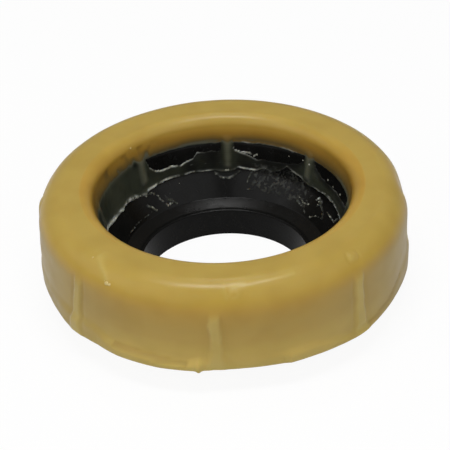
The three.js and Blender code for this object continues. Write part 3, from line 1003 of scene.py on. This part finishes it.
# %% Crumbs and painted highlights on the ring
ring_lumps = []
for angle, level, size in crumbs_and_highlights_on_ring:
    if level < 40 and 0 < angle < 180:  # in the throat, on the far side
        lip_share = math.sqrt(1 - ((level - lip_foot) / lip_round) ** 2)
        facing, radius = -1, guide_radius[0] + lip_round * (1 - lip_share)
    else:
        facing, radius = 1, float(plain_wall(level))
    normal = at_angle(angle, facing, 0.9 if level > 36 else 0.1).normalized()
    ring_lumps.append((at_angle(angle, radius, level), normal, size))
ring_crumbs_and_highlights = lump_piece("ring_crumbs_and_highlights", ring_lumps, paint(204, 180, 110), paint(224, 204, 142))
print("crumbs on the ring:", len(ring_lumps))

# %% [markdown]
# ## Joining the frame
# The body of wax, its crumbs and the horn all move together, so they ride on the one body of the
# part. The dressed pieces stand for the plain solids, which stay in the frame for collision.

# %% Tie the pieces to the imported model
pieces = [
    (wax_body, "wax_ring", "wax"), (horn, "plastic_horn", "plastic"),
    (funnel_crumbs_and_glints, None, "wax"), (ring_crumbs_and_highlights, None, "wax"),
]
for piece, node, slot in pieces:
    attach(piece, "root")
    if node:
        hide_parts(node)
print("pieces:", *(piece.name for piece, node, slot in pieces))

# %% [markdown]
# ## The stage
# The photograph is of a part on plain white. The floor is a pale sheet. To the camera it mostly
# glows an even white, with a little real light in it that keeps the part's shadow. To everything
# else it is a matt pale surface, so that the light it throws back onto the wax is honest. From
# beneath it lets the view through.

# %% The floor
floor_reach = 3.0
square = ((-1, -1), (1, -1), (1, 1), (-1, 1))
floor_corners = [(x * floor_reach, y * floor_reach, 0) for x, y in square]
floor_mesh = bpy.data.meshes.new("floor")
floor_mesh.from_pydata(floor_corners, [], [(0, 1, 2, 3)])
floor = add_object("floor", floor_mesh)
pure_white = (1, 1, 1, 1)
sheet = Finish(bpy.data.materials.new("floor_sheet"))
matt = sheet.add("ShaderNodeBsdfDiffuse", Color=paint(232, 232, 232)).outputs[0]
glow = sheet.add("ShaderNodeEmission", Color=pure_white, Strength=0.93).outputs[0]
trace = sheet.add("ShaderNodeBsdfDiffuse", Color=(0.07, 0.07, 0.07, 1)).outputs[0]
clear = sheet.add("ShaderNodeBsdfTransparent").outputs[0]
to_camera = sheet.add("ShaderNodeLightPath").outputs["Is Camera Ray"]
from_below = sheet.add("ShaderNodeNewGeometry").outputs["Backfacing"]
white = sheet.shaders("ShaderNodeAddShader", glow, trace)
seen = sheet.shaders("ShaderNodeMixShader", matt, white, Fac=to_camera)
under = sheet.shaders("ShaderNodeMixShader", seen, clear, Fac=from_below)
sheet.wire(sheet.nodes["Material Output"], Surface=under)
floor_mesh.materials.append(sheet.owner)

# %% [markdown]
# ## The light
# A photographer would hang a long, narrow box overhead. It draws the thin line of light along the
# near shoulder. Two large boxes in front light the wall evenly, and weak ones fill in the sides. A
# small box behind them all catches the shelf of the funnel. The room's own light is faint, and a
# little stronger for reflections, so that the satin wax never mirrors pure black.

# %% The lamps
lamp_aim = Vector((0, 0, 0.03))


def direction(azimuth, elevation):
    """From the part outward, in degrees. Azimuth 0 is the side of the camera, 90 is the right."""
    a, e = math.radians(azimuth), math.radians(elevation)
    return Vector((math.sin(a) * math.cos(e), -math.cos(a) * math.cos(e), math.sin(e)))


def softbox(name, azimuth, elevation, distance, size, power):
    """A soft panel lamp that faces the part, in metres and watts."""
    lamp = bpy.data.lights.new(name, "AREA")
    lamp.shape, lamp.size, lamp.size_y, lamp.energy = "RECTANGLE", *size, power
    holder = add_object(name, lamp)
    away = direction(azimuth, elevation)
    holder.location = away * distance + lamp_aim
    holder.rotation_euler = away.to_track_quat("Z", "Y").to_euler()


softbox("overhead_box", 0, 80, 0.80, (0.52, 0.15), 3.45)
softbox("back_box", 184, 68, 0.90, (0.14, 0.14), 0.6)
softbox("left_box", -82, 30, 0.80, (0.50, 0.50), 0.65)
softbox("right_box", 84, 36, 0.80, (0.50, 0.50), 0.25)
softbox("front_left_box", -40, 29, 1.20, (1.10, 0.90), 2.75)
softbox("front_right_box", 42, 29, 1.20, (1.10, 0.90), 2.5)
print("lamps:", len(bpy.data.lights))

# %% The light of the room
room = Finish(bpy.data.worlds.new("room"))
bpy.context.scene.world = room.owner
room_path = room.add("ShaderNodeLightPath").outputs
glossier = room.between(room_path["Is Glossy Ray"], 0.12, 0.3)
soft_air = room.add("ShaderNodeBackground", Color=pure_white, Strength=glossier).outputs[0]
air = room.wire(room.nodes["Background"], Color=pure_white).outputs[0]
room_mix = room.shaders("ShaderNodeMixShader", soft_air, air, Fac=room_path["Is Camera Ray"])
room.wire(room.nodes["World Output"], Surface=room_mix)

# %% [markdown]
# ## The camera
# The view looks down at about 34 degrees from nearly in front, through a long lens from about
# 70 cm. The camera is held a little askew, so the right side of the ring stands higher.

# %% The camera
camera_data = bpy.data.cameras.new("camera")
camera_data.lens, camera_data.sensor_width = 149.1, 36
camera_data.shift_x, camera_data.shift_y = 0.0029, -0.0078
camera = add_object("camera", camera_data)
camera_distance, camera_aim = 0.680, Vector((0, 0, 0.0259))
camera_azimuth, camera_elevation, roll = 4.0, 33.9, math.radians(2.7)
back = direction(camera_azimuth, camera_elevation)
level_right = at_angle(camera_azimuth, 1, 0)
level_up = back.cross(level_right)
right = level_right * math.cos(roll) - level_up * math.sin(roll)
up = level_up * math.cos(roll) + level_right * math.sin(roll)
turned = Matrix([right, up, back]).transposed().to_4x4()
camera.matrix_world = Matrix.Translation(camera_aim + back * camera_distance) @ turned
bpy.context.scene.camera = camera
bpy.context.scene.view_settings.view_transform = "Standard"
print("camera:", camera_distance, "m away,", camera_elevation, "degrees up")

# %% [markdown]
# ## Closing
# The dressed part has to stay the size of the solids. The last cell brings the scene up to date.

# %% Bring the scene up to date
bpy.context.view_layer.update()
